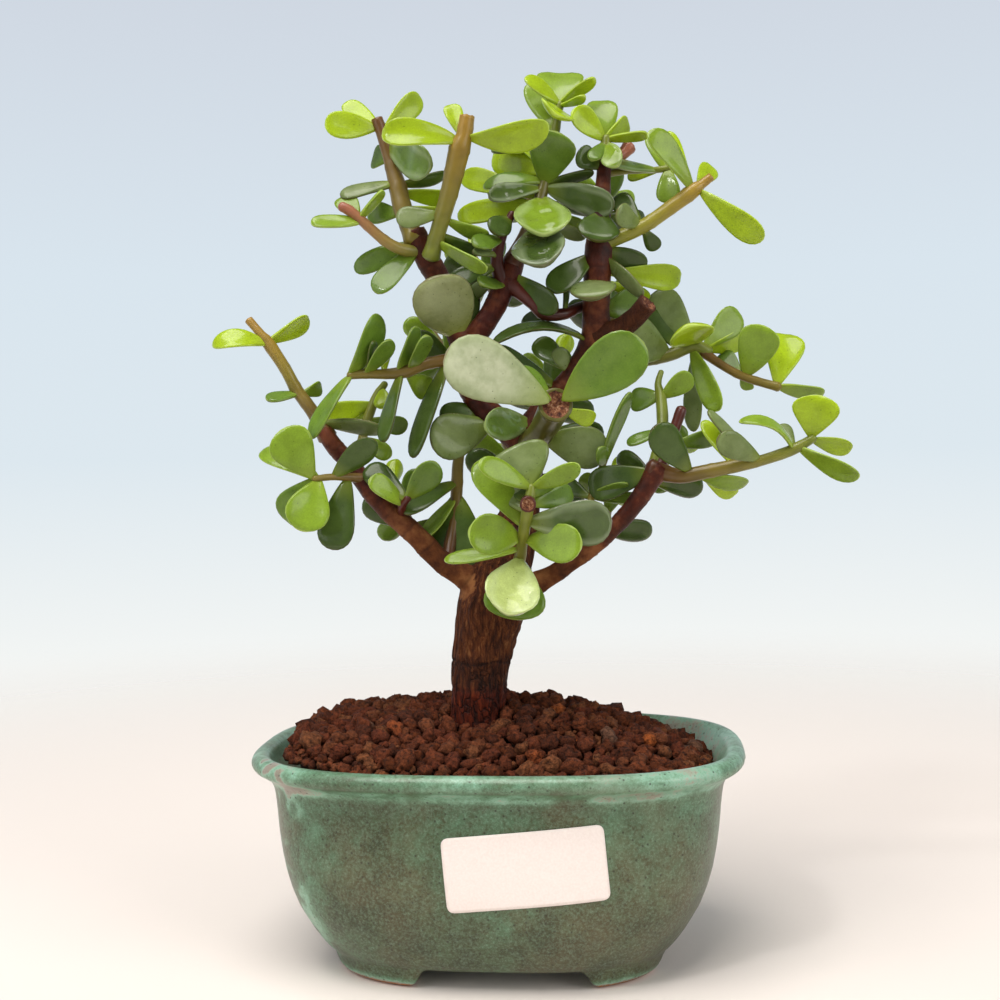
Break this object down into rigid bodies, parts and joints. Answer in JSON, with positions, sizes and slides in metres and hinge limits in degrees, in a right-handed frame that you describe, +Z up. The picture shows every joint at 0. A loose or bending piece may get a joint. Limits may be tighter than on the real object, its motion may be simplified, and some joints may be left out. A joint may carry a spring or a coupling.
{
  "type": "dwarf jade bonsai",
  "caption": "Dwarf jade grown as a small indoor bonsai with a forked trunk and glossy round leaves, in a rounded rectangular glazed pot with low bracket feet.",
  "frame": {"origin": "middle of the object's bounding box at the bottom, on the surface that the pot's feet stand on", "axes": "+Z up; +X along the pot's long side towards the right of someone facing the front; -Y towards the front, the side with the label"},
  "size_m": [0.157, 0.0886, 0.2228],
  "materials": {
    "glaze": "gloss celadon green glaze over terracotta clay",
    "paper": "matt white",
    "soil": "loose porous fired clay granules, rough",
    "plastic": "moulded",
    "wire": "drawn wire",
    "bark": "rough brown bark, smooth and redder on the younger wood",
    "shoot": null
  },
  "bodies": {
    "root": {"trunk": "bark", "left_branch": "bark", "right_branch": "bark", "left_leader": "bark", "right_leader": "bark", "front_stub": "bark", "cut_stub": "bark", "upper_left_leader": "bark", "right_outer": "shoot", "left_tip": "shoot", "left_low": "shoot", "left_side": "shoot", "left_inner": "shoot", "left_bud": "shoot", "inner_left": "shoot", "front_shoot": "shoot", "front_cut": "shoot", "right_inner": "shoot", "right_rise": "shoot", "red_bud": "shoot", "right_mid": "shoot", "right_far": "shoot", "pink_shoot": "shoot", "upper_left": "shoot", "tall_shoot": "shoot", "left_fork": "shoot", "cross_branch": "shoot", "crown": "shoot", "right_crown": "shoot", "knob_stub": "shoot", "thin_shoot": "shoot", "right_upper": "shoot", "back_low_left": "shoot", "back_low_right": "shoot", "back_centre_low": "shoot", "back_centre": "shoot", "back_left": "shoot", "back_left_high": "shoot", "back_right": "shoot", "back_high": "shoot", "back_top": "shoot", "back_right_low": "shoot", "screen_left": "plastic", "clip_left": "wire", "screen_right": "plastic", "clip_right": "wire", "soil": "soil", "pot": "glaze", "label": "paper"}
  },
  "joints": []
}
